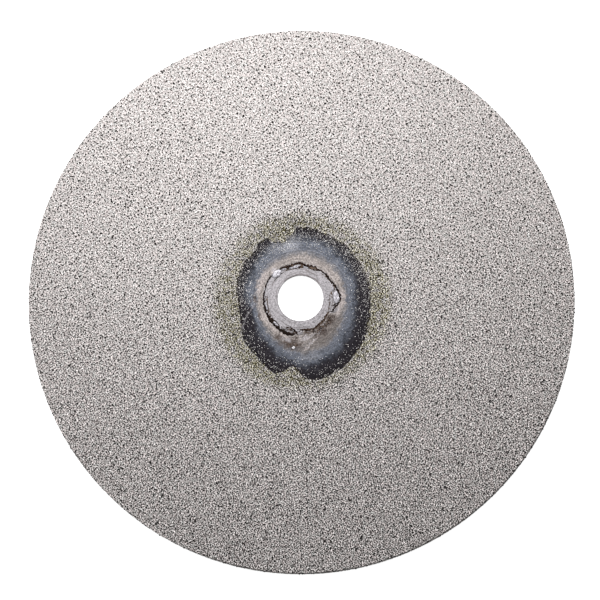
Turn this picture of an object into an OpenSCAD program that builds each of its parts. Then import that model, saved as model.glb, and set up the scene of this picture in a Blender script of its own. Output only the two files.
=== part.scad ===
// Flat electroplated diamond grinding disc, millimetres.
// The disc lies on its back face with the grit facing +Z, and Z is the arbor axis.
// Every piece below is a separate solid that sits on the one before it.

/* [Disc] */
// Outside diameter over the rim grit
disc_d = 152.4; // [150:0.1:200]
// Arbor hole diameter
bore_d = 12.7; // [9:0.1:14]
// Thickness of the steel blank
core_t = 1.2; // [0.9:0.05:3]
// Bevel on both edges of the blank's rim
rim_bevel = 0.2; // [0.1:0.05:0.35]
// Bevel on both edges of the arbor hole
bore_bevel = 0.1; // [0.05:0.05:0.3]

/* [Plating] */
// Thickness of the nickel strike that sticks to the steel
strike_t = 0.03; // [0.02:0.01:0.05]
// Thickness of the nickel that grips the diamond
bond_t = 0.12; // [0.08:0.01:0.2]
// Height that the diamond stands out of the nickel
grit_h = 0.15; // [0.08:0.01:0.25]

/* [Edge of the plating] */
// How far the torn edges are moved out from their usual place
edge_shift = 0; // [-0.2:0.05:1]
// Height of the ripple along the edge of the bond
edge_ripple = 0.2; // [0:0.05:0.5]
// Width of the crust along the edge of the strike, as a share of its usual width
crust_scale = 1; // [0.6:0.05:1.2]
// Height of the crust above the steel
crust_h = 0.14; // [0.08:0.01:0.2]
// Height of the nodules above the steel
nodule_h = 0.12; // [0.08:0.01:0.2]

/* [Stray grains] */
// Number of single grains between the crust and the bond
stray_count = 90; // [20:1:160]
// Width of a single grain
stray_w = 0.34; // [0.2:0.02:0.5]

/* [Hidden] */
$fn = 128;
eps = 0.01;
bore_r = bore_d / 2;
core_r = disc_d / 2 - grit_h - bond_t - strike_t;
strike_r = core_r + strike_t;
bond_r = strike_r + bond_t;
strike_z = core_t + strike_t;
bond_z = strike_z + bond_t;
// A layer of even thickness grows by this much along each side of a 45 degree bevel.
corner = tan(22.5);
// The bearing step of the irregular edges, in degrees.
edge_step = 3;

// Bearing, radius and width along the crust, where the plating tore off the bare seat.
CRUST_LINE = [[0, 11.1, 0.45], [12, 10.8, 0.5], [34, 9.8, 0.4], [57, 9.6, 0.4], [67, 9.7, 0.7],
              [78, 9.4, 0.8], [94, 9.8, 0.6], [110, 9.3, 0.8], [121, 9.9, 0.5], [145, 10.4, 0.4],
              [166, 10.3, 0.45], [188, 10.4, 0.5], [205, 10.3, 0.55], [218, 10.4, 0.7],
              [236, 10.4, 0.7], [250, 10.5, 1.1], [259, 10.2, 1.0], [264, 9.6, 0.8],
              [270, 8.9, 0.35], [294, 9.2, 0.4], [306, 9.0, 0.45], [330, 8.6, 0.25],
              [342, 9.9, 0.5]];

// Bearing and radius along the inner edge of the bond, where the grit begins.
BOND_LINE = [[0, 19.6], [25, 19.4], [58, 19.4], [92, 20.0], [99, 17.6], [106, 16.6], [113, 17.2],
             [121, 19.7], [136, 18.4], [148, 18.8], [163, 18.4], [180, 17.6], [192, 17.6],
             [206, 18.2], [216, 19.7], [230, 20.4], [243, 21.4], [251, 22.2], [258, 20.8],
             [263, 19.0], [268, 20.4], [273, 22.7], [280, 23.3], [300, 22.7], [322, 21.6],
             [336, 20.4]];

// Bearing, radius, length and width of each bright nodule on the bare seat and its surroundings.
NODULES = [[1, 9.95, 3.0, 1.5], [16, 9.3, 1.2, 0.8], [80, 8.7, 1.5, 0.3], [101, 8.8, 3.0, 0.5],
           [120, 9.3, 1.0, 0.45], [134, 9.5, 2.6, 1.5], [193, 9.7, 2.6, 0.55],
           [226, 9.9, 2.0, 0.4], [242, 9.5, 2.0, 0.7], [255, 9.8, 1.5, 0.6],
           [262, 14.0, 0.5, 0.4], [269, 9.9, 1.4, 0.9], [340, 10.2, 1.5, 0.8]];

// Each bearing is between two entries of a line: this is the later entry's index.
function next_entry(line, a) = min([for (i = [1 : len(line)]) if (i == len(line) || line[i][0] > a) i]);

// Value k of a line at a bearing, eased between the entries on either side.
function line_value(line, a, k) =
    let (j = next_entry(line, a),
         from = line[j - 1],
         to = line[j % len(line)],
         end = j == len(line) ? 360 : to[0],
         t = (a - from[0]) / (end - from[0]))
    from[k] + (to[k] - from[k]) * (1 - cos(180 * t)) / 2;

function crust_r(a) = line_value(CRUST_LINE, a, 1) + edge_shift;
function bond_edge_r(a) = line_value(BOND_LINE, a, 1) + edge_shift
    + edge_ripple * (sin(9 * a) + sin(23 * a) + sin(40 * a)) / 2;
function crust_half(a) = crust_scale * line_value(CRUST_LINE, a, 2) / 2;
function polar(r, a) = [r * cos(a), r * sin(a)];

module steel_outline() {
    polygon([
        [bore_r + bore_bevel, 0],
        [core_r - rim_bevel, 0],
        [core_r, rim_bevel],
        [core_r, core_t - rim_bevel],
        [core_r - rim_bevel, core_t],
        [bore_r + bore_bevel, core_t],
        [bore_r, core_t - bore_bevel],
        [bore_r, bore_bevel],
    ]);
}

// Section of a layer that lies on the face, turns over the bevel and runs down the rim.
module layer_section(under_r, under_z, bevel, t) {
    polygon([
        [bore_r, under_z],
        [under_r - bevel, under_z],
        [under_r, under_z - bevel],
        [under_r, rim_bevel],
        [under_r + t, rim_bevel],
        [under_r + t, under_z - bevel + t * corner],
        [under_r - bevel + t * corner, under_z + t],
        [bore_r, under_z + t],
    ]);
}

module crust_outline(side) {
    polygon([for (a = [0 : edge_step : 360 - edge_step]) polar(crust_r(a) + side * crust_half(a), a)]);
}

module bond_outline(inset) {
    polygon([for (a = [0 : edge_step : 360 - edge_step]) polar(bond_edge_r(a) + inset, a)]);
}

// A flat pad with round ends that lies along the circle around the bore.
module nodule(place) {
    straight = (place[2] - place[3]) / 2;
    rotate([0, 0, place[0]])
    translate([place[1] + edge_shift, 0, 0]) {
        translate([-place[3] / 2, -straight])
        square([place[3], 2 * straight]);
        translate([0, -straight])
        circle(d = place[3]);
        translate([0, straight])
        circle(d = place[3]);
    }
}

module nodule_outlines() {
    for (place = NODULES) {
        nodule(place);
    }
}

module steel_core() {
    color([0.70, 0.67, 0.68])
    rotate_extrude()
    steel_outline();
}

module nickel_strike() {
    color([0.42, 0.42, 0.46])
    difference() {
        rotate_extrude()
        layer_section(core_r, core_t, rim_bevel, strike_t);
        translate([0, 0, core_t - eps])
        linear_extrude(strike_t + 2 * eps)
        crust_outline(1);
        translate([0, 0, core_t - eps])
        linear_extrude(strike_t + 2 * eps)
        nodule_outlines();
    }
}

module nickel_bond() {
    color([0.50, 0.49, 0.48])
    difference() {
        rotate_extrude()
        layer_section(strike_r, strike_z, rim_bevel + strike_t * corner, bond_t);
        translate([0, 0, strike_z - eps])
        linear_extrude(bond_t + 2 * eps)
        bond_outline(0);
    }
}

// The height and reach of the packed face grains.
module face_grit() {
    color([0.72, 0.69, 0.68])
    translate([0, 0, bond_z])
    linear_extrude(grit_h)
    difference() {
        circle(r = core_r - rim_bevel);
        bond_outline(0.3);
    }
}

// The height and reach of the packed grains around the rim.
module rim_grit() {
    color([0.66, 0.63, 0.62])
    translate([0, 0, rim_bevel])
    difference() {
        cylinder(r = disc_d / 2, h = core_t - 2 * rim_bevel);
        translate([0, 0, -eps])
        cylinder(r = bond_r, h = core_t);
    }
}

// Grain number i is in one of equal sectors, so that no two of them touch.
function stray_bearing(i) = i * 360 / stray_count;
function stray_reach(i) = (i * 0.618034) % 1;
function stray_r(i) =
    let (a = stray_bearing(i),
         low = crust_r(a) + crust_half(a) + stray_w + 2,
         high = bond_edge_r(a) - 2 * stray_w)
    low + (high - low) * sqrt(stray_reach(i));

module stray_grit() {
    color([0.80, 0.79, 0.76])
    for (i = [0 : stray_count - 1]) {
        rotate([0, 0, stray_bearing(i)])
        translate([stray_r(i), 0, strike_z])
        rotate([0, 0, 360 * stray_reach(i * 3)])
        cylinder(d = stray_w, h = grit_h + bond_t / 2, $fn = 6);
    }
}

module plating_crust() {
    color([0.12, 0.09, 0.07])
    translate([0, 0, core_t])
    linear_extrude(crust_h)
    difference() {
        crust_outline(1);
        crust_outline(-1);
        nodule_outlines();
    }
}

module plating_nodules() {
    color([0.83, 0.83, 0.86])
    translate([0, 0, core_t])
    linear_extrude(nodule_h)
    nodule_outlines();
}

steel_core();
nickel_strike();
nickel_bond();
face_grit();
rim_grit();
stray_grit();
plating_crust();
plating_nodules();
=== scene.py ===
import math

import bpy
import numpy as np
from mathutils import Matrix, Vector, noise


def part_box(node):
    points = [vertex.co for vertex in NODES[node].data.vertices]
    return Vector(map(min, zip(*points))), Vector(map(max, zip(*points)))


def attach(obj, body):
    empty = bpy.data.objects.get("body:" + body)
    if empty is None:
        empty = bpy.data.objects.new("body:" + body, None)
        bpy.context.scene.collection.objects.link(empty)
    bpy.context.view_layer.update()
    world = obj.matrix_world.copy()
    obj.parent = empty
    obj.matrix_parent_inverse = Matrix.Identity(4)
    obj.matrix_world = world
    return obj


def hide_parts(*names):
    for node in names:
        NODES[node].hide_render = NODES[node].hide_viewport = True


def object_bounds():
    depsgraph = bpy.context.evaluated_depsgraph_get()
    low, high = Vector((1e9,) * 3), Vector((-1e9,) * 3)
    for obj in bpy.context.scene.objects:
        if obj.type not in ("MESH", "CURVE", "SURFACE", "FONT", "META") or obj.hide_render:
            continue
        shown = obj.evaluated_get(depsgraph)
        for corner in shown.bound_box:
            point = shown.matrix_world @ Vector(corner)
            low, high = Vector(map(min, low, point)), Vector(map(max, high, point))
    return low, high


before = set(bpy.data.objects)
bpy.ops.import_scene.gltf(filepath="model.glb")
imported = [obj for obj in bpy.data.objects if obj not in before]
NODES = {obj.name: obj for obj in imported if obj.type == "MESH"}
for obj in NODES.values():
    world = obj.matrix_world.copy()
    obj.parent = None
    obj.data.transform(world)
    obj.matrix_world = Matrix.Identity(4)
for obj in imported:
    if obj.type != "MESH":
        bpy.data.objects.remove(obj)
cad_lo, cad_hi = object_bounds()
MM = 0.001

# ---------------------------------------------------------------- values read from the CAD


def cad_points(name):
    """The vertices of a CAD node."""
    mesh = NODES[name].data
    co = np.empty(len(mesh.vertices) * 3)
    mesh.vertices.foreach_get("co", co)
    return co.reshape(-1, 3)


def reach(points):
    """Distances from the disc's axis."""
    return np.hypot(points[:, 0], points[:, 1])


def bearing(points):
    """Angles around the disc's axis, from 0 to a whole turn."""
    return np.arctan2(points[:, 1], points[:, 0]) % math.tau


def outline(points):
    """A closed line in polar form, (bearings, radii), from points that each have their own bearing."""
    order = np.argsort(bearing(points))
    a, r = bearing(points)[order], reach(points)[order]
    keep = np.append(True, np.diff(a) > 1e-4)
    return a[keep], r[keep]


def at(line, a):
    """The radius of a closed polar line at bearings in radians."""
    return np.interp(a, line[0], line[1], period=math.tau)


def pieces_of(name):
    """The vertices of each separate solid of a CAD node."""
    mesh, pts = NODES[name].data, cad_points(name)
    key = np.round(pts, 6)
    _, same = np.unique(key, axis=0, return_inverse=True)
    same = same.ravel()
    parent = np.arange(same.max() + 1)

    def root(i):
        while parent[i] != i:
            parent[i] = parent[parent[i]]
            i = parent[i]
        return i

    for e in mesh.edges:
        a, b = root(same[e.vertices[0]]), root(same[e.vertices[1]])
        parent[a] = b
    label = np.array([root(i) for i in same])
    return [pts[label == k] for k in np.unique(label)]


CORE_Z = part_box("steel_core")[1].z
STRIKE_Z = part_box("nickel_strike")[1].z
BOND_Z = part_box("nickel_bond")[1].z
BOND_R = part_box("nickel_bond")[1].x
RIM_LO, RIM_HI = (c.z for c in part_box("rim_grit"))
DISC_R = cad_hi.x
BORE_R = reach(cad_points("steel_core")).min()

# The torn edge of the strike lies inside this radius and the rest of its top outside it.
TORN_WITHIN = BORE_R * 1.85
# How near a vertex has to be to a level to count as being on it.
LEVEL = 1e-6

bond_pts = cad_points("nickel_bond")
bond_top = bond_pts[bond_pts[:, 2] > BOND_Z - LEVEL]
BEVEL_R = reach(bond_top).max()
BOND_EDGE = outline(bond_top[reach(bond_top) < DISC_R / 2])

crust_pts = cad_points("plating_crust")
crust_top = crust_pts[crust_pts[:, 2] > CORE_Z + LEVEL]
strike_pts = cad_points("nickel_strike")
strike_top = strike_pts[strike_pts[:, 2] > STRIKE_Z - LEVEL]
STRIKE_EDGE = outline(strike_top[reach(strike_top) < TORN_WITHIN])


# ---------------------------------------------------------------- building helpers


def smooth(v, lo, hi):
    """0 below lo, 1 above hi, eased between."""
    t = np.clip((v - lo) / (hi - lo), 0, 1)
    return t * t * (3 - 2 * t)


def around(a, degrees, far, near):
    """1 near a bearing and 0 away from it. far and near are cosines of the angle from it."""
    return smooth(np.cos(a - math.radians(degrees)), far, near)


def by_bearing(table, column, a):
    """A column of a table at bearings in radians. The table's first column is bearings in degrees."""
    return np.interp(a, np.radians(table[:, 0]), table[:, column], period=math.tau)


def polar(r, a, z):
    """Points from radii, bearings in radians and heights."""
    r, z = (np.broadcast_to(v, a.shape) for v in (r, z))
    return np.column_stack([r * np.cos(a), r * np.sin(a), z])


def point_noise(r, a, per_metre, seed):
    """Noise around 0 at points given by radius and bearing."""
    flat = zip(r * np.cos(a), r * np.sin(a))
    return np.array([noise.noise((x * per_metre, y * per_metre, seed)) for x, y in flat])


def value_noise(pts, size, seed):
    """Smooth noise from 0 to 1 at points in the plane, with features of the given size."""
    out = np.empty(len(pts))
    for i, (x, y) in enumerate(pts):
        out[i] = noise.noise((x / size, y / size, seed))
    return np.clip(0.5 + out * 0.8, 0, 1)


def drift(pts, size, seed):
    """A push in x and y for each point, from -0.5 to 0.5, that changes smoothly from place to place."""
    return np.column_stack([value_noise(pts, size, seed), value_noise(pts, size, seed + 1)]) - 0.5


def ring_quads(n, n_round, closed=True):
    """Quads between n rings of n_round vertices, the last ring joined to the first.

    closed joins the ends of each ring."""
    steps = n_round if closed else n_round - 1
    i, j = (v.ravel() for v in np.meshgrid(np.arange(n), np.arange(steps), indexing="ij"))
    i2, j2 = (i + 1) % n, (j + 1) % n_round
    return np.column_stack([i * n_round + j, i2 * n_round + j, i2 * n_round + j2, i * n_round + j2])


def fan_quads(loop):
    """Quads that fill a flat loop with an even number of corners."""
    pairs = range(len(loop) // 2 - 1)
    return np.array([(loop[n], loop[n + 1], loop[-2 - n], loop[-1 - n]) for n in pairs])


class Look:
    """A node material under construction."""

    def __init__(self, name):
        self.mat = bpy.data.materials.new(name)
        self.mat.use_nodes = True
        self.tree = self.mat.node_tree
        self.bsdf = self.tree.nodes["Principled BSDF"]
        self.coord = self.add("ShaderNodeTexCoord").outputs["Object"]

    def add(self, kind, inputs=None, **props):
        n = self.tree.nodes.new(kind)
        for k, v in props.items():
            setattr(n, k, v)
        for k, v in (inputs or {}).items():
            self.put(n.inputs[k], v)
        return n

    def put(self, socket, v):
        """Link or set a socket. A colour may be given by its three parts."""
        if isinstance(v, bpy.types.NodeSocket):
            self.tree.links.new(v, socket)
        elif isinstance(v, tuple) and len(v) == 3 and socket.type == "RGBA":
            socket.default_value = (*v, 1.0)
        else:
            socket.default_value = v

    def set(self, **inputs):
        for k, v in inputs.items():
            self.put(self.bsdf.inputs[k.replace("_", " ")], v)

    def math(self, op, a, b=None, clamp=False):
        n = self.add("ShaderNodeMath", {0: a}, operation=op, use_clamp=clamp)
        if b is not None:
            self.put(n.inputs[1], b)
        return n.outputs[0]

    def vec(self, op, a, b=None):
        n = self.add("ShaderNodeVectorMath", {0: a}, operation=op)
        if b is not None:
            self.put(n.inputs[1], b)
        return n.outputs["Value" if op in ("LENGTH", "DOT_PRODUCT") else "Vector"]

    def span(self, v, lo, hi, to_lo=0.0, to_hi=1.0, smooth=True):
        """v from lo..hi to to_lo..to_hi, clamped."""
        kind = "SMOOTHSTEP" if smooth else "LINEAR"
        n = self.add("ShaderNodeMapRange", {0: v, 1: lo, 2: hi, 3: to_lo, 4: to_hi},
                     interpolation_type=kind)
        return n.outputs[0]

    def noise(self, scale, detail=3.0, rough=0.5, distortion=0.0):
        n = self.add("ShaderNodeTexNoise", {"Vector": self.coord, "Scale": scale, "Detail": detail,
                                            "Roughness": rough, "Distortion": distortion})
        return n.outputs["Fac"]

    def lines(self, at, scale, detail, rough):
        """Noise along one axis, at a distance along it."""
        inputs = {"W": at, "Scale": scale, "Detail": detail, "Roughness": rough}
        n = self.add("ShaderNodeTexNoise", inputs, noise_dimensions="1D")
        return n.outputs["Fac"]

    def ramp(self, fac, stops):
        n = self.add("ShaderNodeValToRGB", {"Fac": fac})
        e = n.color_ramp.elements
        while len(e) < len(stops):
            e.new(0.5)
        for i, (pos, colour) in enumerate(stops):
            e[i].position = pos
            e[i].color = (*colour, 1.0)
        return n.outputs["Color"]

    def mix(self, fac, a, b):
        n = self.add("ShaderNodeMix", {"Factor": fac, 6: a, 7: b}, data_type="RGBA")
        return n.outputs[2]

    def shade(self, colour, factor):
        """The colour made lighter or darker by a factor."""
        n = self.add("ShaderNodeVectorMath", {0: colour, "Scale": factor}, operation="SCALE")
        return n.outputs["Vector"]

    def attribute(self, name):
        return self.add("ShaderNodeAttribute", attribute_name=name).outputs["Fac"]

    def radius(self):
        """Distance from the disc's axis, in millimetres."""
        flat = self.vec("MULTIPLY", self.coord, (1000.0, 1000.0, 0.0))
        return self.vec("LENGTH", flat)

    def bump(self, height, distance, strength):
        n = self.add("ShaderNodeBump", {"Height": height, "Distance": distance, "Strength": strength})
        return n.outputs["Normal"]


def mesh_piece(name, verts, faces, look, replaces=(), smooth=False, values=None):
    """A piece of the disc from vertex and face arrays. values holds a number per vertex for each name."""
    mesh = bpy.data.meshes.new(name)
    faces = np.asarray(faces)
    verts = np.asarray(verts, float)
    n_side = faces.shape[1]
    mesh.vertices.add(len(verts))
    mesh.vertices.foreach_set("co", verts.ravel())
    mesh.loops.add(faces.size)
    mesh.loops.foreach_set("vertex_index", faces.ravel())
    mesh.polygons.add(len(faces))
    mesh.polygons.foreach_set("loop_start", np.arange(0, faces.size, n_side))
    mesh.polygons.foreach_set("use_smooth", np.full(len(faces), smooth))
    mesh.update(calc_edges=True)
    mesh.validate()
    for key, v in (values or {}).items():
        layer = mesh.attributes.new(key, "FLOAT", "POINT")
        layer.data.foreach_set("value", np.asarray(v, np.float32))
    mesh.materials.append(look.mat)
    obj = bpy.data.objects.new(name, mesh)
    bpy.context.scene.collection.objects.link(obj)
    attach(obj, "root")
    if replaces:
        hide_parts(*replaces)
    return obj


# ---------------------------------------------------------------- crystals

# The habits that blocky synthetic diamond comes in: a worn block, a double pyramid and a three-sided twin.
BLOCK = np.array([(x, y, z) for z in (-1, 1) for y in (-1, 1) for x in (-1, 1)]) * 0.62
BLOCK_FACES = [(0, 2, 3), (0, 3, 1), (4, 5, 7), (4, 7, 6), (0, 1, 5), (0, 5, 4),
               (1, 3, 7), (1, 7, 5), (3, 2, 6), (3, 6, 7), (2, 0, 4), (2, 4, 6)]
SPIRE = np.array([(1, 0, 0), (-1, 0, 0), (0, 1, 0), (0, -1, 0), (0, 0, 1), (0, 0, -1)])
SPIRE_FACES = [(0, 2, 4), (2, 1, 4), (1, 3, 4), (3, 0, 4), (2, 0, 5), (1, 2, 5), (3, 1, 5), (0, 3, 5)]
TWIN = np.array([(1.2 * math.cos(t), 1.2 * math.sin(t), z) for z in (-0.55, 0.55)
                 for t in np.arange(3) * math.tau / 3])
TWIN_FACES = [(0, 2, 1), (3, 4, 5), (0, 1, 4), (0, 4, 3), (1, 2, 5), (1, 5, 4), (2, 0, 3), (2, 3, 5)]
HABITS = [(0.40, BLOCK, BLOCK_FACES), (0.25, SPIRE, SPIRE_FACES), (0.35, TWIN, TWIN_FACES)]


def random_turns(n, rng):
    """Rotation matrices spread evenly over all directions."""
    q = rng.normal(size=(n, 4))
    w, x, y, z = (q / np.linalg.norm(q, axis=1, keepdims=True)).T
    return np.stack([
        np.stack([1 - 2 * (y * y + z * z), 2 * (x * y - z * w), 2 * (x * z + y * w)], 1),
        np.stack([2 * (x * y + z * w), 1 - 2 * (x * x + z * z), 2 * (y * z - x * w)], 1),
        np.stack([2 * (x * z - y * w), 2 * (y * z + x * w), 1 - 2 * (x * x + y * y)], 1)], 1)


def crystals(centres, sizes, rng):
    """Vertices, faces and each vertex's grain number, for one irregular crystal at each centre."""
    habit = rng.choice(len(HABITS), len(centres), p=[share for share, _, _ in HABITS])
    verts, faces, owner, start = [], [], [], 0
    for h, (_, shape, shape_faces) in enumerate(HABITS):
        pick = habit == h
        n, k = pick.sum(), len(shape)
        if n == 0:
            continue
        local = shape * rng.uniform(0.75, 1.25, (n, 1, 3)) + rng.normal(0, 0.07, (n, k, 3))
        local = np.einsum("nij,nkj->nki", random_turns(n, rng), local)
        local *= sizes[pick][:, None, None]
        verts.append((local + centres[pick][:, None, :]).reshape(-1, 3))
        step = np.arange(n)[:, None, None] * k + start
        faces.append((np.array(shape_faces)[None] + step).reshape(-1, 3))
        owner.append(np.repeat(np.flatnonzero(pick), k))
        start += n * k
    return np.concatenate(verts), np.concatenate(faces), np.concatenate(owner)


# Distance between grains, and the size of a grain from its middle to a corner.
GRAIN_PITCH = 0.30 * MM
GRAIN_SIZE = 0.157 * MM
# How far a grain strays from its place on the grid, as a share of the pitch.
GRAIN_JITTER = 0.24
# A place that wants less light than this gets a dark grain, with a tone up to the second value. Dark grains
# are painted shade: near-black crystals that stand in for the shaded gaps between grains.
PAINTED_SHADE_BELOW, PAINTED_SHADE_TONE = 0.37, 0.08
# The dark grains: share so far, how much larger they are, and how much light their extra size hides. The
# largest stand in for shaded pits where grains are missing, which is painted shade.
PAINTED_SHADE_GRAINS = [(0.09, 1.9, 1.0), (0.50, 1.4, 0.42), (1.0, 1.0, 0.0)]
# How much of the light still owed goes to the next grain and to each of the two below.
PASS_NEXT, PASS_BELOW = 0.36, 0.25
# The face is made in this many pieces, each as wide as the others.
SECTORS = 14


def scatter(r_hi, pitch, rng):
    """Points on a loose triangular grid that covers a disc, as an array of rows, columns and x, y."""
    n, rows = int(r_hi / pitch) + 2, 2 * int(r_hi / pitch * 0.58 + 2)
    ix, iy = np.meshgrid(np.arange(-n, n + 1), np.arange(-rows, rows + 1))
    pts = np.stack([ix + (iy % 2) / 2, iy * math.sqrt(0.75)], 2) * pitch
    return pts + rng.uniform(-GRAIN_JITTER, GRAIN_JITTER, pts.shape) * pitch


def spread_tones(mean, glow, rng):
    """Tones with the given mean for rows of grains, and how much larger each is.

    glow scales the bright ones. What each grain lacks is passed on to the next in its row and the two
    below it, so dark ones seldom clump."""
    rows, cols = mean.shape
    nudge, dim = rng.normal(0, 0.11, mean.shape), rng.random(mean.shape)
    bright = glow * rng.uniform(0.56, 0.84, mean.shape)
    tone, grow = np.zeros((rows, cols)), np.ones((rows, cols))
    owed = np.zeros((rows + 1, cols + 2))
    for y in range(rows):
        way = 1 if y % 4 < 2 else -1
        below = y % 2
        for x in range(1, cols + 1)[::way]:
            want = mean[y, x - 1] + owed[y, x]
            got, hides = bright[y, x - 1], 0.0
            # A dark grain here is painted shade for a gap or pit between grains.
            if want + nudge[y, x - 1] < PAINTED_SHADE_BELOW:
                got = dim[y, x - 1] * PAINTED_SHADE_TONE
                _, grow[y, x - 1], hides = next(s for s in PAINTED_SHADE_GRAINS if dim[y, x - 1] <= s[0])
            tone[y, x - 1] = got
            left = min(max(want - got + hides, -0.6), 1.4)
            owed[y, x + way if 0 < x + way <= cols else x] += PASS_NEXT * left
            owed[y + 1, x - 1 + below] += PASS_BELOW * left
            owed[y + 1, min(x + below, cols + 1)] += PASS_BELOW * left
    return tone, grow


# The colour of grit from its darkest tone to its brightest: in rosy places, grey places and the stain.
ROSY_GRIT = [(0.0, (0.010, 0.008, 0.008)), (0.2, (0.12, 0.10, 0.094)), (0.45, (0.48, 0.424, 0.410)),
             (0.75, (0.70, 0.633, 0.618)), (1.0, (0.90, 0.83, 0.82))]
GREY_GRIT = [(0.0, (0.008, 0.009, 0.008)), (0.2, (0.10, 0.105, 0.095)), (0.45, (0.43, 0.43, 0.405)),
             (0.75, (0.65, 0.635, 0.62)), (1.0, (0.86, 0.845, 0.835))]
OLIVE_GRIT = [(0.0, (0.026, 0.021, 0.006)), (0.4, (0.22, 0.19, 0.07)), (0.7, (0.50, 0.465, 0.31)),
              (1.0, (0.86, 0.83, 0.72))]


def grit_look():
    """Diamond grit. Its tone, warmth and stain are given on the mesh."""
    k = Look("diamond_grit")
    fine = k.noise(5200.0, 1.0)
    chips = k.span(k.noise(2900.0, 0.0), 0.25, 0.65, 0.12, 1.45, smooth=False)
    tone = k.math("MULTIPLY", k.attribute("tone"), chips, clamp=True)
    clean = k.mix(k.attribute("warm"), k.ramp(tone, GREY_GRIT), k.ramp(tone, ROSY_GRIT))
    k.set(Base_Color=k.mix(k.attribute("stain"), clean, k.ramp(tone, OLIVE_GRIT)), IOR=1.5,
          Roughness=k.span(fine, 0.3, 0.7, 0.5, 0.7), Specular_IOR_Level=0.2,
          Normal=k.bump(fine, 0.02 * MM, 0.5))
    return k


# Bearing in degrees, how strong the olive stain is there and how much darker the grit is.
FRINGE = np.array([(0, 2.3, 1.0), (35, 0.95, 0.8), (60, 0.8, 0.8), (80, 1.0, 1.15), (115, 1.1, 1.3),
                   (145, 0.7, 0.7), (178, 0.8, 0.8), (200, 1.0, 1.0), (225, 2.0, 1.05), (243, 2.4, 1.1),
                   (265, 1.5, 1.05), (300, 0.85, 1.05), (335, 1.95, 1.0)])

# Bearing in degrees, and how thickly grit is strewn just inside the bond's edge there.
STREWN = np.array([(0, 0.46), (20, 0.54), (35, 0.54), (60, 0.64), (80, 0.44), (108, 0.24), (125, 0.30),
                   (143, 0.46), (165, 0.62), (182, 0.62), (200, 0.30), (225, 0.34), (250, 0.26),
                   (275, 0.20), (300, 0.10), (322, 0.14), (345, 0.34)])

# How far inside and outside fringe_r the darker grit and the olive stain give way to the even grit.
SHADE_FADE = (-3.2 * MM, 3.0 * MM)
STAIN_FADE = (-3.2 * MM, 1.6 * MM)
# The tone of even grit, how much brighter it is at the far rim, which is painted light, and how much darker
# in full shade.
EVEN_TONE, FAR_PAINTED_LIGHT, SHADE_DARKER = 0.49, 0.015, 0.20
# Loose grains on the strike: their size as a share of a bedded grain's, and their tone.
LOOSE_SIZE, LOOSE_TONE = (0.38, 0.75), (0.72, 1.0)


def fringe_r(a):
    """Where the olive stain and the short plating give way to the even grit."""
    return (24.6 + 0.7 * np.cos(a - math.radians(290))) * MM


def face_grains(rng):
    """Centre, size, tone, stain and warmth of each grain on the face, and its bearing."""
    pts = scatter(BOND_R, GRAIN_PITCH, rng)
    r, a = np.hypot(*pts.T).T, np.arctan2(*pts.T[::-1]).T % math.tau
    short = 1 - smooth(r - fringe_r(a), *SHADE_FADE)
    across = pts[..., 1] / BOND_R
    shade = short * by_bearing(FRINGE, 2, a) * (0.75 + 0.25 * smooth(r, 19.5 * MM, 22 * MM))
    # Painted light and shade: toward the far rim, nearer the lamp, fewer grains are dark and the bright ones
    # are dimmer.
    mean = EVEN_TONE + FAR_PAINTED_LIGHT * across - SHADE_DARKER * shade
    tone, grow = spread_tones(mean, 1 - 0.17 * across, rng)
    on_face = (r > BORE_R * 1.8) & (r < BOND_R - 0.02 * MM)
    pts, r, a, tone, grow = (v[on_face] for v in (pts, r, a, tone, grow))

    # Which grains are there: all of them on the bond, and a thinning few on the strike inside it.
    beyond = (r - at(BOND_EDGE, a)) / MM
    blotch = value_noise(pts, 1.3 * MM, 3.0)
    cover = smooth(beyond + (blotch - 0.5) * 1.1, -0.2, 0.25)
    strewn = by_bearing(STREWN, 1, a)
    thin = strewn * smooth(beyond, -4.4, 0.0) + 0.3 * strewn * smooth(beyond, -8.5, -3.0)
    haze = around(a, 105, 0.75, 1.0) * smooth(r, 13 * MM, 16 * MM)
    thin = thin + 0.30 * haze * (1 - 0.7 * smooth(r, 17.4 * MM, 18.4 * MM))
    keep = rng.random(len(pts)) < np.maximum(cover, thin)
    pts, r, a, tone, grow, beyond = (v[keep] for v in (pts, r, a, tone, grow, beyond))

    # Size and height.
    n = len(pts)
    bedded = beyond > -0.5
    small = np.where(bedded, 0.85 + 0.15 * smooth(beyond, -0.5, 1.0), rng.uniform(*LOOSE_SIZE, n))
    size = GRAIN_SIZE * rng.uniform(0.92, 1.08, n) * small
    ground = np.where(beyond > 0.0, BOND_Z, STRIKE_Z) - np.maximum(r - BEVEL_R, 0)
    grow = np.where(bedded, grow, 1.0)
    z = ground + size * np.where(grow > 1, 0.40, rng.uniform(-0.25, 0.0, n))
    size = size * grow

    # Colour. The grains on the bevel of the rim are darker on one side, the side away from the lamp: painted
    # shade.
    tone = np.where(bedded, tone, rng.uniform(*LOOSE_TONE, n))
    bevel_shade = smooth(r, BEVEL_R - 0.2 * MM, BEVEL_R) * around(a, 292, 0.55, 0.8)
    tone = tone * (1 - 0.8 * bevel_shade)
    green = smooth(value_noise(pts, 1.5 * MM, 9.0), 0.15, 0.6)
    stain = (1 - smooth(r - fringe_r(a), *STAIN_FADE)) * smooth(beyond, -1.0, 0.6) * green
    stain = np.clip(stain * by_bearing(FRINGE, 1, a) * rng.uniform(0.0, 2.1, n), 0, 1)
    warm = np.clip(value_noise(pts, 1.0 * MM, 5.0) * 1.3 + 0.04 + rng.normal(0, 0.15, n), 0, 1)
    warm = np.where(bedded, warm, warm * 0.4)
    return np.column_stack([pts, z]), size, {"tone": tone, "stain": stain, "warm": warm}, a


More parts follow.
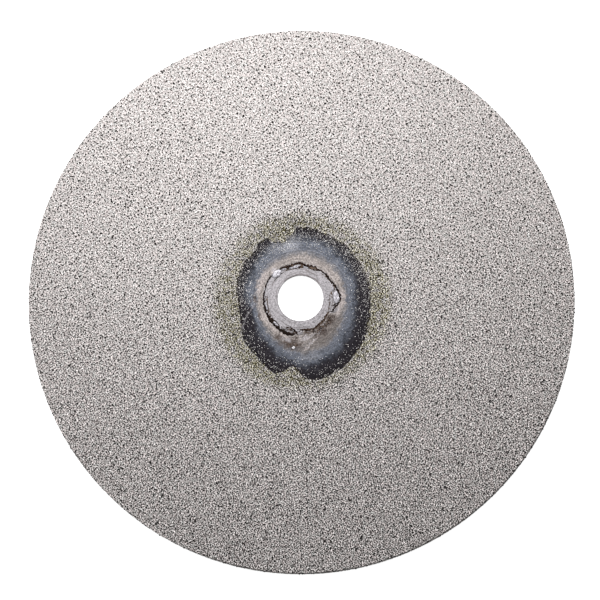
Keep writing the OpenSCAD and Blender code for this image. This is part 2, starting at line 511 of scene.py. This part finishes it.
def build_face_grit(look):
    """The grit on the face, one piece for each sector."""
    rng = np.random.default_rng(7)
    centres, size, values, a = face_grains(rng)
    for s in range(SECTORS):
        pick = (a >= s * math.tau / SECTORS) & (a < (s + 1) * math.tau / SECTORS)
        verts, faces, owner = crystals(centres[pick], size[pick], rng)
        mesh_piece(f"face_grit_{s + 1}", verts, faces, look, ["face_grit"],
                   values={key: v[pick][owner] for key, v in values.items()})


def build_rim_grit(look):
    """The grit around the rim, in rows one above the other."""
    rng = np.random.default_rng(8)
    n_round = int(math.tau * BOND_R / GRAIN_PITCH)
    rows = max(2, int((RIM_HI - RIM_LO) / (GRAIN_PITCH * 0.87)))
    i, j = (v.ravel() for v in np.meshgrid(np.arange(n_round), np.arange(rows)))
    a = (i + 0.5 * (j % 2) + rng.uniform(-0.35, 0.35, i.size)) * math.tau / n_round
    z = RIM_LO + (j + 0.5 + rng.uniform(-0.3, 0.3, i.size)) * (RIM_HI - RIM_LO) / rows
    size = GRAIN_SIZE * rng.uniform(0.7, 1.0, i.size)
    r = BOND_R + size * rng.uniform(-0.45, 0.0, i.size)
    tone = np.clip(rng.normal(0.22, 0.16, i.size), 0, 1)
    warm = tone * 1.5 % 1
    verts, faces, owner = crystals(polar(r, a, z), size, rng)
    mesh_piece("rim_grit_ring", verts, faces, look, ["rim_grit"],
               values={"tone": tone[owner], "stain": np.zeros(len(owner)), "warm": warm[owner]})


# ---------------------------------------------------------------- metal


# Dark turning lines and burrs on the seat: radius, half width, bearing and half the span in degrees.
STEEL_MARKS = [(7.78, 0.22, 66, 16), (8.06, 0.16, 84, 16), (8.52, 0.24, 97, 14), (7.3, 0.12, 96, 30),
               (6.6, 0.26, 86, 56), (8.75, 0.20, 143, 16), (9.35, 0.16, 196, 26), (9.0, 0.18, 350, 16),
               (8.35, 0.14, 258, 36), (8.2, 0.16, 356, 14), (7.4, 0.10, 330, 20), (6.9, 0.10, 160, 26),
               (7.2, 0.10, 236, 26)]
# The colours of the seat along its turning lines, and of the marks.
STEEL_TONES = [(0.30, (0.105, 0.096, 0.102)), (0.46, (0.144, 0.134, 0.142)),
               (0.56, (0.164, 0.153, 0.162)), (0.70, (0.215, 0.201, 0.213))]
STEEL_MARK_COLOUR = (0.035, 0.024, 0.024)


def arc_mark(k, r, wander, at_r, half, bearing_deg, span_deg):
    """A mark along the turning lines, 1 on its middle. It spans that many degrees each way."""
    b = math.radians(bearing_deg)
    toward = k.vec("DOT_PRODUCT", k.vec("NORMALIZE", k.vec("MULTIPLY", k.coord, (1.0, 1.0, 0.0))),
                   (math.cos(b), math.sin(b), 0.0))
    inside = k.span(toward, math.cos(math.radians(span_deg)), math.cos(math.radians(span_deg * 0.7)))
    off = k.math("ABSOLUTE", k.math("SUBTRACT", k.math("ADD", r, wander), at_r))
    return k.math("MULTIPLY", inside, k.span(off, half, half * 0.3))


def steel_look():
    """Bare turned steel. The lines run around the disc's axis."""
    k = Look("bare_steel")
    r = k.radius()
    wander = k.math("MULTIPLY", k.noise(120.0, 2.0), 0.35)
    grain = k.noise(2900.0, 1.0, 0.7)
    base = k.ramp(k.lines(k.math("ADD", r, wander), 2.6, 5.0, 0.8), STEEL_TONES)
    base = k.shade(base, k.span(grain, 0.36, 0.64, 0.42, 1.60, smooth=False))
    shift = k.span(k.noise(420.0, 3.0), 0.3, 0.7, -0.12, 0.12)
    for mark in STEEL_MARKS:
        amount = k.math("MULTIPLY", arc_mark(k, r, shift, *mark), 0.8)
        base = k.mix(amount, base, STEEL_MARK_COLOUR)
    k.set(Base_Color=base, Metallic=0.35, Roughness=k.span(grain, 0.3, 0.7, 0.40, 0.58),
          Normal=k.bump(grain, 0.03 * MM, 0.5))
    return k


# Bearing in degrees, radius in millimetres where beige turns blue-grey, and where that turns charcoal.
TINTS = np.array([(0, 12.5, 15.4), (30, 12.5, 16.4), (60, 12.7, 17.4), (90, 12.8, 17.9),
                  (120, 12.6, 17.4), (150, 12.5, 16.4), (180, 12.0, 16.0), (188, 12.4, 15.2),
                  (194, 12.5, 14.2), (210, 12.6, 14.6), (225, 13.2, 15.4), (240, 13.6, 16.4),
                  (255, 14.0, 18.4), (275, 15.2, 19.8), (300, 14.8, 18.9), (330, 13.0, 17.0)])
# The colours of the strike from the torn edge to the bond's edge.
STRIKE_TONES = [(0.0, (0.164, 0.145, 0.138)), (0.20, (0.169, 0.148, 0.140)),
                (0.30, (0.109, 0.101, 0.103)), (0.40, (0.072, 0.076, 0.092)),
                (0.52, (0.052, 0.058, 0.074)), (0.62, (0.029, 0.031, 0.040)),
                (0.72, (0.017, 0.015, 0.019)), (1.0, (0.010, 0.008, 0.010))]
# The colour of each kind of mark on the strike and how much of it shows, the lowest first.
MARK_KINDS = {"haze": ((0.119, 0.121, 0.137), 0.7), "tan": ((0.074, 0.063, 0.058), 0.88),
              "cream": ((0.225, 0.198, 0.192), 0.9), "brown": ((0.040, 0.029, 0.025), 0.90),
              "pale": ((0.24, 0.224, 0.236), 0.68)}
FROST_COLOUR = (0.26, 0.26, 0.275)

# Oval marks of each kind: bearing, radius, half length, half width and lean in degrees.
BLOTS = {
    "haze": [(105, 15.6, 4.6, 2.2, 12), (280, 16.6, 3.0, 1.0, 8)],
    "tan": [(298, 12.7, 3.4, 2.0, 40), (281, 13.8, 2.4, 0.8, 50), (322, 12.2, 3.0, 1.2, 60),
            (12, 12.3, 2.0, 0.25, 100), (284, 12.6, 1.8, 0.5, 62)],
    "cream": [(42, 10.35, 1.6, 0.4, 132), (66, 10.15, 1.7, 0.4, 156), (2, 11.7, 2.3, 0.7, 92),
              (158, 11.7, 3.2, 0.95, 68), (203, 11.5, 1.7, 0.5, 113), (134, 10.9, 1.2, 0.45, 44),
              (342, 11.0, 1.4, 0.6, 72)],
    "brown": [(322, 10.4, 1.9, 1.2, 52), (305, 9.9, 2.4, 1.1, 36), (258, 13.2, 3.6, 1.45, -12),
              (204, 12.5, 1.3, 0.35, 116), (288, 9.9, 1.2, 0.5, 12), (301, 11.5, 2.3, 1.0, 25),
              (241, 12.4, 1.3, 0.75, 150), (300, 11.2, 1.7, 0.8, 30), (262, 11.2, 1.2, 0.3, 170),
              (262, 13.2, 1.3, 0.6, -10), (182, 12.8, 1.0, 0.6, 94)],
    "pale": [(277, 11.3, 1.5, 0.6, 6), (133, 11.0, 0.7, 0.35, 43), (343, 10.6, 1.2, 0.6, 70),
             (291, 10.9, 1.0, 0.3, 30), (283, 12.9, 1.9, 0.22, 48), (251, 12.2, 1.2, 0.3, -20)],
}
# Thin marks: kind, width in millimetres, strength, then bearings and radii along the line.
STROKES = [("pale", 0.34, 0.6, (189, 13.2), (199, 16.0), (209, 18.8)),
           ("cream", 0.36, 1.0, (294, 11.9), (284, 12.9), (274, 14.8)),
           ("cream", 0.90, 0.8, (205, 10.9), (218, 11.2), (232, 11.3), (246, 11.5), (258, 11.6)),
           ("pale", 0.30, 0.6, (318, 9.6), (306, 10.0), (297, 11.0)),
           ("pale", 0.60, 0.6, (272, 11.7), (280, 11.4)),
           ("brown", 0.40, 1.0, (272, 10.9), (279, 9.9), (288, 10.0)),
           ("brown", 0.26, 1.0, (262, 11.9), (267, 12.0))]


def blot(pts, warp, bearing_deg, r, long, wide, lean_deg):
    """1 inside an oval with a soft, ragged edge, 0 outside."""
    b, lean = math.radians(bearing_deg), math.radians(lean_deg)
    x, y = (pts + warp).T / MM - np.array([[r * math.cos(b)], [r * math.sin(b)]])
    u = (x * math.cos(lean) + y * math.sin(lean)) / long
    v = (y * math.cos(lean) - x * math.sin(lean)) / wide
    return 1 - smooth(np.hypot(u, v), 0.5, 1.5)


def stroke(pts, width, line):
    """1 on a line given by bearings and radii, fading out over its width."""
    turns = [math.radians(b) for b, _ in line]
    line = [np.array([r * math.cos(b), r * math.sin(b)]) * MM for b, (_, r) in zip(turns, line)]
    near = np.full(len(pts), 1.0)
    for p, q in zip(line, line[1:]):
        t = np.clip((pts - p) @ (q - p) / ((q - p) @ (q - p)), 0, 1)
        near = np.minimum(near, np.linalg.norm(pts - p - t[:, None] * (q - p), axis=1))
    return 1 - smooth(near, width * 0.4, width)


def strike_look():
    """The tinted strike: zones 0 to 1 are the beige ring, 1 to 2 the blue-grey one, 2 to 3 the charcoal."""
    k = Look("tinted_nickel")
    cloud = k.noise(300.0, 6.0, 0.7, distortion=0.8)
    frost = k.noise(2600.0, 2.0, 0.6)
    u = k.math("ADD", k.attribute("zone"), k.span(cloud, 0.25, 0.75, -0.26, 0.26, smooth=False))
    u = k.math("DIVIDE", u, 3.0)
    base = k.ramp(u, STRIKE_TONES)
    ragged = k.span(k.noise(1100.0, 4.0, 0.7), 0.3, 0.7, 0.6, 1.3)
    for name, (colour, most) in MARK_KINDS.items():
        amount = k.math("MULTIPLY", k.attribute(name), ragged)
        base = k.mix(k.math("MULTIPLY", amount, most, clamp=True), base, colour)
    base = k.shade(base, k.span(frost, 0.32, 0.68, 0.48, 1.52, smooth=False))
    drawn = k.math("ADD", k.radius(), k.math("MULTIPLY", k.noise(140.0, 2.0), 1.6))
    base = k.shade(base, k.span(k.lines(drawn, 2.4, 3.0, 0.5), 0.3, 0.7, 0.82, 1.18))
    frosted = k.math("MULTIPLY", k.span(frost, 0.62, 0.76, 0.0, 0.30), k.span(u, 0.75, 0.60))
    dusty = k.span(u, 0.5, 0.75, 0.0, 0.36)
    k.set(Base_Color=k.mix(frosted, base, FROST_COLOUR), Metallic=0.25, Specular_IOR_Level=0.18,
          Roughness=k.math("ADD", k.span(cloud, 0.3, 0.7, 0.45, 0.62), dusty),
          Normal=k.bump(frost, 0.04 * MM, 0.5))
    return k


def bond_look():
    """The nickel bond between the grains, darker and olive on its inner part."""
    k = Look("bond_nickel")
    lumps = k.noise(2400.0, 4.0, 0.7)
    base = k.ramp(lumps, [(0.3, (0.10, 0.094, 0.092)), (0.55, (0.20, 0.19, 0.186)),
                          (0.75, (0.34, 0.32, 0.315))])
    fringe = k.span(k.radius(), fringe_r(0.0) / MM, BORE_R / MM * 2.8)
    base = k.mix(k.math("MULTIPLY", fringe, 0.5), base, (0.022, 0.020, 0.014))
    k.set(Base_Color=base, Metallic=0.5, Roughness=k.span(lumps, 0.3, 0.7, 0.6, 0.4),
          Normal=k.bump(lumps, 0.08 * MM, 0.8))
    return k


def crust_look():
    """Scale of the torn plating, from almost black to rust brown."""
    k = Look("plating_scale")
    lumps = k.noise(1500.0, 4.0, 0.7)
    rust = k.math("ADD", k.attribute("rust"), k.span(lumps, 0.3, 0.7, -0.45, 0.45), clamp=True)
    base = k.ramp(rust, [(0.15, (0.005, 0.002, 0.001)), (0.45, (0.015, 0.008, 0.005)),
                         (0.7, (0.044, 0.027, 0.018)), (0.95, (0.105, 0.075, 0.058))])
    k.set(Base_Color=base, Roughness=k.span(lumps, 0.3, 0.7, 0.8, 0.55), Specular_IOR_Level=0.06,
          Normal=k.bump(lumps, 0.06 * MM, 0.8))
    return k


def nodule_look():
    """Beads of nickel: some are dull, and those on the strike are the brightest."""
    k = Look("bright_nickel")
    lumps = k.noise(1500.0, 3.0, 0.6)
    base = k.ramp(lumps, [(0.3, (0.150, 0.144, 0.158)), (0.5, (0.235, 0.226, 0.248)),
                          (0.75, (0.330, 0.320, 0.345))])
    base = k.mix(k.math("MULTIPLY", k.attribute("dull"), 0.7), base, (0.108, 0.094, 0.094))
    base = k.mix(k.math("MULTIPLY", k.attribute("fresh"), 0.8), base, (0.50, 0.49, 0.51))
    k.set(Base_Color=base, Metallic=0.3, Roughness=k.span(lumps, 0.3, 0.7, 0.35, 0.55),
          Normal=k.bump(lumps, 0.04 * MM, 0.5))
    return k


def dress(name, look):
    """Give a CAD node that stays in the scene its look."""
    NODES[name].data.materials.clear()
    NODES[name].data.materials.append(look.mat)


def zone_at(r, a):
    """0 at the torn edge, 1 and 2 at the two tint boundaries, 3 at the bond's edge."""
    tint = [by_bearing(TINTS, i, a) * MM for i in (1, 2)]
    edge = at(BOND_EDGE, a)
    stops = np.stack([at(STRIKE_EDGE, a), tint[0], np.minimum(tint[1], edge - 0.3 * MM), edge])
    return np.array([np.interp(x, stops[:, i], (0, 1, 2, 3)) for i, x in enumerate(r)])


# Where the torn edge strays from the CAD's line: bearing in degrees, how far out in millimetres, and the
# cosine of how far to each side.
BENDS = [(25, -0.26, 0.94), (66, -0.24, 0.92), (182, -0.12, 0.94), (150, -0.08, 0.94)]


def torn_shift(a):
    """How far outward the torn edge strays from the CAD's line at bearings in radians."""
    return sum(MM * push * around(a, middle, far, 0.99) for middle, push, far in BENDS)


def build_strike():
    """The strike as a fine polar mesh: top, torn inner edge, bevel, rim and underside."""
    n_round, n_out = 640, 84
    a = np.arange(n_round) * math.tau / n_round
    inner = at(STRIKE_EDGE, a) + torn_shift(a)
    under_bond = at(BOND_EDGE, a) + 1.5 * MM
    thick = STRIKE_Z - CORE_Z
    strike_lo, strike_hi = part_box("nickel_strike")
    drop = strike_hi.x - BEVEL_R
    rows = [polar(inner, a, CORE_Z)]
    for t in np.linspace(0, 1, n_out):
        r = inner + (under_bond - inner) * t
        rows.append(polar(r, a, STRIKE_Z + point_noise(r, a, 900, 2.0) * thick * 0.35))
    seen = np.concatenate(rows)[:, :2]
    r_out, r_in = strike_hi.x, strike_hi.x - thick
    rows += [polar(r, a, z) for r, z in (
        (BEVEL_R, STRIKE_Z), (r_out, STRIKE_Z - drop), (r_out, strike_lo.z),
        (r_in, strike_lo.z), (r_in, CORE_Z - drop), (BEVEL_R - thick, CORE_Z))]
    verts = np.concatenate(rows)
    hidden = len(verts) - len(seen)

    warp = (drift(seen, 0.9 * MM, 21.0) * 1.2 + drift(seen, 0.35 * MM, 23.0) * 0.5) * MM
    moved = seen + warp * 0.6
    values = {"zone": zone_at(reach(moved), bearing(moved))}
    for kind, blots in BLOTS.items():
        values[kind] = np.max([blot(seen, warp, *b) for b in blots], axis=0)
    for kind, width, strength, *line in STROKES:
        mark = stroke(seen + warp * 0.45, width * MM, line) * strength
        values[kind] = np.maximum(values[kind], mark)
    values = {name: np.append(v, np.zeros(hidden)) for name, v in values.items()}
    values["zone"][-hidden:] = 3.0
    mesh_piece("strike_layer", verts, ring_quads(len(rows), n_round), strike_look(),
               ["nickel_strike"], values=values)


# Flakes of scale beside the ridge: width in millimetres, rust from 0 to 1, then bearings and radii along it.
FLAKES = [(0.20, 0.55, (54, 9.3), (63, 8.95), (75, 8.70), (92, 8.5), (108, 8.5), (122, 8.75)),
          (0.16, 0.30, (122, 8.75), (134, 8.65), (146, 8.85)),
          (0.14, 0.90, (28, 9.5), (34, 9.35), (42, 9.2), (52, 9.0)),
          (0.50, 0.95, (63, 9.15), (67, 9.15), (72, 9.1), (76, 9.2)), (0.85, 0.62, (85, 9.15), (90, 9.2)),
          (0.70, 0.45, (110, 9.3), (115, 9.35)),
          (0.22, 0.75, (178, 9.2), (186, 9.25), (197, 9.3), (206, 9.85)),
          (0.20, 0.85, (181, 9.5), (188, 9.8)),
          (0.30, 0.25, (212, 10.2), (217, 9.72), (225, 9.58), (232, 9.72), (237, 10.2)),
          (0.40, 0.35, (214, 10.0), (221, 10.0)),
          (0.24, 0.35, (244, 8.85), (251, 8.68), (258, 8.82), (262, 9.3), (264, 9.9)),
          (0.46, 0.10, (258, 9.3), (261, 9.5), (264, 9.8), (263, 10.2)),
          (0.30, 0.45, (240, 10.0), (244, 9.7), (248, 9.55)),
          (0.20, 0.40, (262, 8.72), (272, 8.70), (282, 8.82), (290, 9.15), (297, 9.55)),
          (0.24, 0.80, (291, 9.25), (304, 9.2), (316, 9.0), (329, 8.8)),
          (0.22, 0.90, (276, 9.6), (284, 9.9)), (0.42, 0.15, (345, 9.05), (348, 9.6), (354, 10.2)),
          (0.30, 0.75, (5, 8.8), (12, 8.75)), (0.40, 0.55, (11, 9.1), (13, 9.4), (15, 9.9)),
          (0.35, 0.70, (302, 9.6), (310, 10.0)), (0.30, 0.60, (316, 9.5), (326, 10.6))]
# Corners in the section of a ridge or a flake, and the steps for each point of a flake's line.
RIDGE_SIDES, FLAKE_STEPS = 12, 12


def ridge(a, mid, half, high, seed, closed):
    """A lumpy ridge on the seat: vertices and quads of a section swept along a line in polar form.

    closed joins the ends of the line."""
    around_axis = [(math.cos(x) * 17, math.sin(x) * 17) for x in a]
    lumps = np.array([[noise.noise((x, y, seed + s)) for x, y in around_axis] for s in (0, 4, 8)])
    mid = mid + lumps[0] * 0.26 * MM
    half = half * (1.1 + lumps[1])
    high = high * (0.9 + 0.5 * lumps[2])
    rows = []
    for t in np.arange(RIDGE_SIDES) * math.tau / RIDGE_SIDES:
        lift = math.sin(t)
        r = mid + half * math.cos(t)
        z = CORE_Z + high * (0.25 + 0.75 * lift if lift > 0 else 0.25 * (1 + lift))
        fine = point_noise(r, a, 5500, t)
        rows.append(polar(r + fine * np.minimum(half, 0.1 * MM), a, z + abs(fine) * 0.03 * MM))
    return np.concatenate(rows), ring_quads(RIDGE_SIDES, len(a), closed)


def build_ridge(look, high):
    """The ridge along the CAD crust, slimmer or fuller at some bearings and rustier at others."""
    mid_r = reach(crust_top)
    torn = at(STRIKE_EDGE, bearing(crust_top))
    outer = outline(crust_top[mid_r > torn - 0.08 * MM])
    inner = outline(crust_top[mid_r < torn - 0.22 * MM])
    a = np.arange(900) * math.tau / 900
    r0, r1 = at(inner, a), at(outer, a)
    slim = 1.06 - 0.20 * around(a, 238, 0.82, 0.95)
    slim = slim * (1 - 0.75 * around(a, 134, 0.986, 0.994))
    slim = slim + 0.16 * around(a, 26, 0.88, 0.96)
    slim = slim - 0.22 * around(a, 158, 0.88, 0.96)
    slim = slim - 0.18 * around(a, 64, 0.88, 0.96)
    mid = (r0 + r1) / 2 + (1 - slim) * 0.12 * MM + torn_shift(a)
    verts, faces = ridge(a, mid, (r1 - r0) / 2 * slim, high * slim, 1.0, True)
    rusty = 0.10 + 0.35 * around(a, 88, 0.75, 0.95) + 0.45 * around(a, 303, 0.80, 0.90)
    mesh_piece("crust_ridge", verts, faces, look, ["plating_crust"], smooth=True,
               values={"rust": np.tile(rusty, RIDGE_SIDES)})


def build_flakes(look, high):
    """Short pieces of scale beside the ridge, thinning out to both ends."""
    for i, (width, rust, *line) in enumerate(FLAKES):
        turn, r = np.array(line).T
        steps = np.linspace(0, 1, FLAKE_STEPS * len(line))
        along = np.linspace(0, 1, len(line))
        b, mid = np.radians(np.interp(steps, along, turn)), np.interp(steps, along, r) * MM
        taper = np.sqrt(np.clip(4 * steps * (1 - steps), 0, 1)) * 0.9 + 0.1
        verts, faces = ridge(b, mid, width / 2 * MM * taper, high * 0.8, 20.0 + i, False)
        caps = [[k * len(b) + end for k in range(RIDGE_SIDES)] for end in (0, len(b) - 1)]
        faces = np.concatenate([faces, fan_quads(caps[0][::-1]), fan_quads(caps[1])])
        mesh_piece(f"crust_flake_{i + 1}", verts, faces, look, ["plating_crust"],
                   smooth=True, values={"rust": np.full(len(verts), rust)})


# Clusters of loose scale: bearing, radius, spread in degrees, spread in millimetres and count.
CRUMBS = [(70, 8.9, 12, 0.35, 60), (88, 8.75, 10, 0.3, 45), (113, 8.9, 7, 0.3, 36),
          (20, 9.9, 7, 0.35, 22), (200, 9.75, 16, 0.25, 40), (222, 9.9, 16, 0.3, 46),
          (250, 9.3, 10, 0.35, 60), (258, 10.0, 6, 0.5, 44), (284, 9.5, 14, 0.35, 46),
          (300, 10.2, 14, 0.8, 60), (322, 10.0, 13, 1.1, 80), (347, 9.8, 8, 0.5, 30),
          (0, 8.2, 16, 0.6, 11), (343, 8.5, 9, 0.5, 26), (262, 13.2, 10, 0.7, 34)]


def build_crumbs(look):
    """Loose brown scale, lying on the seat or on the strike."""
    rng = np.random.default_rng(11)
    spots = []
    for bearing_deg, r, spread, depth, count in CRUMBS:
        a = np.radians(bearing_deg + rng.normal(0, spread / 2, count))
        spots.append(polar((r + rng.normal(0, depth / 2, count)) * MM, a, 0.0))
    spots = np.concatenate(spots)
    size = rng.uniform(0.07, 0.20, len(spots)) * MM
    verts, faces, owner = crystals(spots, size, rng)
    verts[:, 2] *= 0.45
    on_strike = reach(verts) > at(STRIKE_EDGE, bearing(verts))
    verts[:, 2] += np.where(on_strike, STRIKE_Z, CORE_Z) + 0.02 * MM
    mesh_piece("crust_crumbs", verts, faces, look, ["plating_crust"],
               values={"rust": rng.uniform(0.3, 0.9, len(spots))[owner]})


def build_nodules():
    """A rounded, dented bead of nickel at each CAD nodule. Those on the dull side of the seat are dull."""
    look = nodule_look()
    rings, sides = 8, 34
    for i, pts in enumerate(pieces_of("plating_nodules")):
        centre = (pts.min(0) + pts.max(0)) / 2
        a = math.atan2(centre[1], centre[0])
        out, along = Vector((math.cos(a), math.sin(a), 0)), Vector((-math.sin(a), math.cos(a), 0))
        wide = max(np.ptp(pts @ np.array(out)) / 2, 0.30 * MM)
        long = max(np.ptp(pts @ np.array(along)) / 2, 0.32 * MM)
        wide *= 1 + 0.3 * smooth(wide, 0.5 * MM, 0.8 * MM)
        long *= 1 + 0.18 * smooth(wide, 0.6 * MM, 0.9 * MM)
        high = np.ptp(pts[:, 2]) * 1.4
        on_strike = math.hypot(*centre[:2]) > at(STRIKE_EDGE, a) + 1 * MM
        if on_strike:
            wide, long = max(wide, 0.44 * MM), max(long, 0.40 * MM)
        base = STRIKE_Z if on_strike else CORE_Z
        sunk = base - 0.01 * MM
        verts = [[*centre[:2], base + high * 1.05]]
        for k in range(1, rings + 1):
            t = k / rings
            for s in range(sides):
                b = s * math.tau / sides
                dent = noise.noise((math.cos(b) * 1.6 + i * 7, math.sin(b) * 1.6, t * 1.2))
                chip = noise.noise((math.cos(b) * 5 + i * 3, math.sin(b) * 5, t * 3))
                grow = t * (1.04 + 0.24 * dent + 0.14 * chip)
                p = (Vector(centre) + out * (wide * math.cos(b) * grow)
                     + along * (long * math.sin(b) * grow))
                dome = math.sqrt(max(0.0, 1 - t ** 3))
                p.z = base + high * dome * (0.9 + 0.5 * dent + 0.2 * chip) if k < rings else sunk
                verts.append(list(p))
        verts.append([*centre[:2], sunk])
        faces = []
        for s in range(sides):
            s2 = (s + 1) % sides
            faces.append((0, 1 + s, 1 + s2))
            for k in range(rings - 1):
                p, q = 1 + k * sides, 1 + (k + 1) * sides
                faces += [(p + s, q + s, q + s2), (p + s, q + s2, p + s2)]
            faces.append((len(verts) - 1, 1 + (rings - 1) * sides + s2, 1 + (rings - 1) * sides + s))
        dull = around(a, 295, 0.35, 0.60) * (math.hypot(*centre[:2]) < 12 * MM)
        shine = {"dull": np.full(len(verts), dull), "fresh": np.full(len(verts), float(on_strike))}
        mesh_piece(f"nodule_{i + 1}", verts, faces, look, ["plating_nodules"],
                   smooth=True, values=shine)


def build_stray_grit(look):
    """A crystal at each CAD grain on the tinted ring."""
    rng = np.random.default_rng(9)
    middles = np.array([(p.min(0) + p.max(0)) / 2 for p in pieces_of("stray_grit")])
    size = GRAIN_SIZE * 0.62 * rng.uniform(0.7, 1.1, len(middles))
    middles[:, 2] = STRIKE_Z + size * 0.3
    verts, faces, owner = crystals(middles, size, rng)
    tone = rng.uniform(0.75, 1.0, len(middles))[owner]
    mesh_piece("stray_crystals", verts, faces, look, ["stray_grit"],
               values={"tone": tone, "stain": np.zeros(len(owner)), "warm": np.full(len(owner), 0.5)})


# ---------------------------------------------------------------- studio


# The section of the floor: radii and heights, from the flat part up its low wall.
SWEEP = [(3.0, 0.0), (3.1, 0.02), (3.18, 0.08), (3.2, 0.18), (3.2, 0.55)]
# How strongly the floor glows, and the light from everywhere.
FLOOR_GLOW, SKY_GLOW = 0.95, 0.02
# The lamp: where it is, how wide, and how strong in watts.
LAMP_AT, LAMP_WIDE, LAMP_WATTS = (-0.050, 0.190, 0.400), 0.22, 4.2
# The camera: how far off the disc's axis and toward which side, its distance and lens, what it looks at.
OFF_AXIS, TOWARD = math.radians(6.1), math.radians(14.2)
DISTANCE, LENS = 0.49, 105.64
AIM = Vector((-0.00013, -0.00057, cad_hi.z))


def build_floor():
    """A pale floor that sweeps up into a low wall all round."""
    turns = 96
    verts = [(r * math.cos(i * math.tau / turns), r * math.sin(i * math.tau / turns), z)
             for r, z in SWEEP for i in range(turns)]
    faces = [tuple(range(turns))]
    for start in range(0, (len(SWEEP) - 1) * turns, turns):
        for i in range(turns):
            j = (i + 1) % turns
            faces.append((start + i, start + j, start + turns + j, start + turns + i))
    mesh = bpy.data.meshes.new("floor")
    mesh.from_pydata(verts, [], faces)
    floor = bpy.data.objects.new("floor", mesh)
    floor.location.z = cad_lo.z - 0.02 * MM
    bpy.context.scene.collection.objects.link(floor)
    k = Look("floor")
    k.set(Base_Color=(0.6, 0.6, 0.6), Roughness=0.9, Specular_IOR_Level=0.1,
          Emission_Color=(1.0, 1.0, 1.0), Emission_Strength=FLOOR_GLOW)
    mesh.materials.append(k.mat)


def build_light():
    """One soft lamp and a little light from everywhere."""
    world = bpy.data.worlds.new("studio")
    world.use_nodes = True
    world.node_tree.nodes["Background"].inputs["Color"].default_value = (1.0, 1.0, 1.0, 1.0)
    world.node_tree.nodes["Background"].inputs["Strength"].default_value = SKY_GLOW
    bpy.context.scene.world = world

    light = bpy.data.lights.new("key", "AREA")
    light.shape = "DISK"
    light.size = LAMP_WIDE
    light.energy = LAMP_WATTS
    lamp = bpy.data.objects.new("key", light)
    lamp.location = LAMP_AT
    bpy.context.scene.collection.objects.link(lamp)

    view = bpy.context.scene.view_settings
    view.view_transform = "Standard"
    view.look = "None"


def build_camera():
    """Nearly square on: the disc's near edge is at the bottom of the frame, a little to the right."""
    back = Vector((math.sin(OFF_AXIS) * math.sin(TOWARD), -math.sin(OFF_AXIS) * math.cos(TOWARD),
                   math.cos(OFF_AXIS)))
    right = Vector((0, 1, 0)).cross(back).normalized()
    turn = Matrix((right, back.cross(right), back)).transposed()
    data = bpy.data.cameras.new("camera")
    data.sensor_width = 36.0
    data.lens = LENS
    data.clip_start, data.clip_end = 0.01, 20.0
    cam = bpy.data.objects.new("camera", data)
    cam.matrix_world = Matrix.Translation(AIM + back * DISTANCE) @ turn.to_4x4()
    bpy.context.scene.collection.objects.link(cam)
    bpy.context.scene.camera = cam


grit, crust = grit_look(), crust_look()
dress("steel_core", steel_look())
dress("nickel_bond", bond_look())
build_strike()
crust_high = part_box("plating_crust")[1].z - CORE_Z
build_ridge(crust, crust_high)
build_flakes(crust, crust_high)
build_crumbs(crust)
build_nodules()
build_face_grit(grit)
build_rim_grit(grit)
build_stray_grit(grit)
build_floor()
build_light()
build_camera()
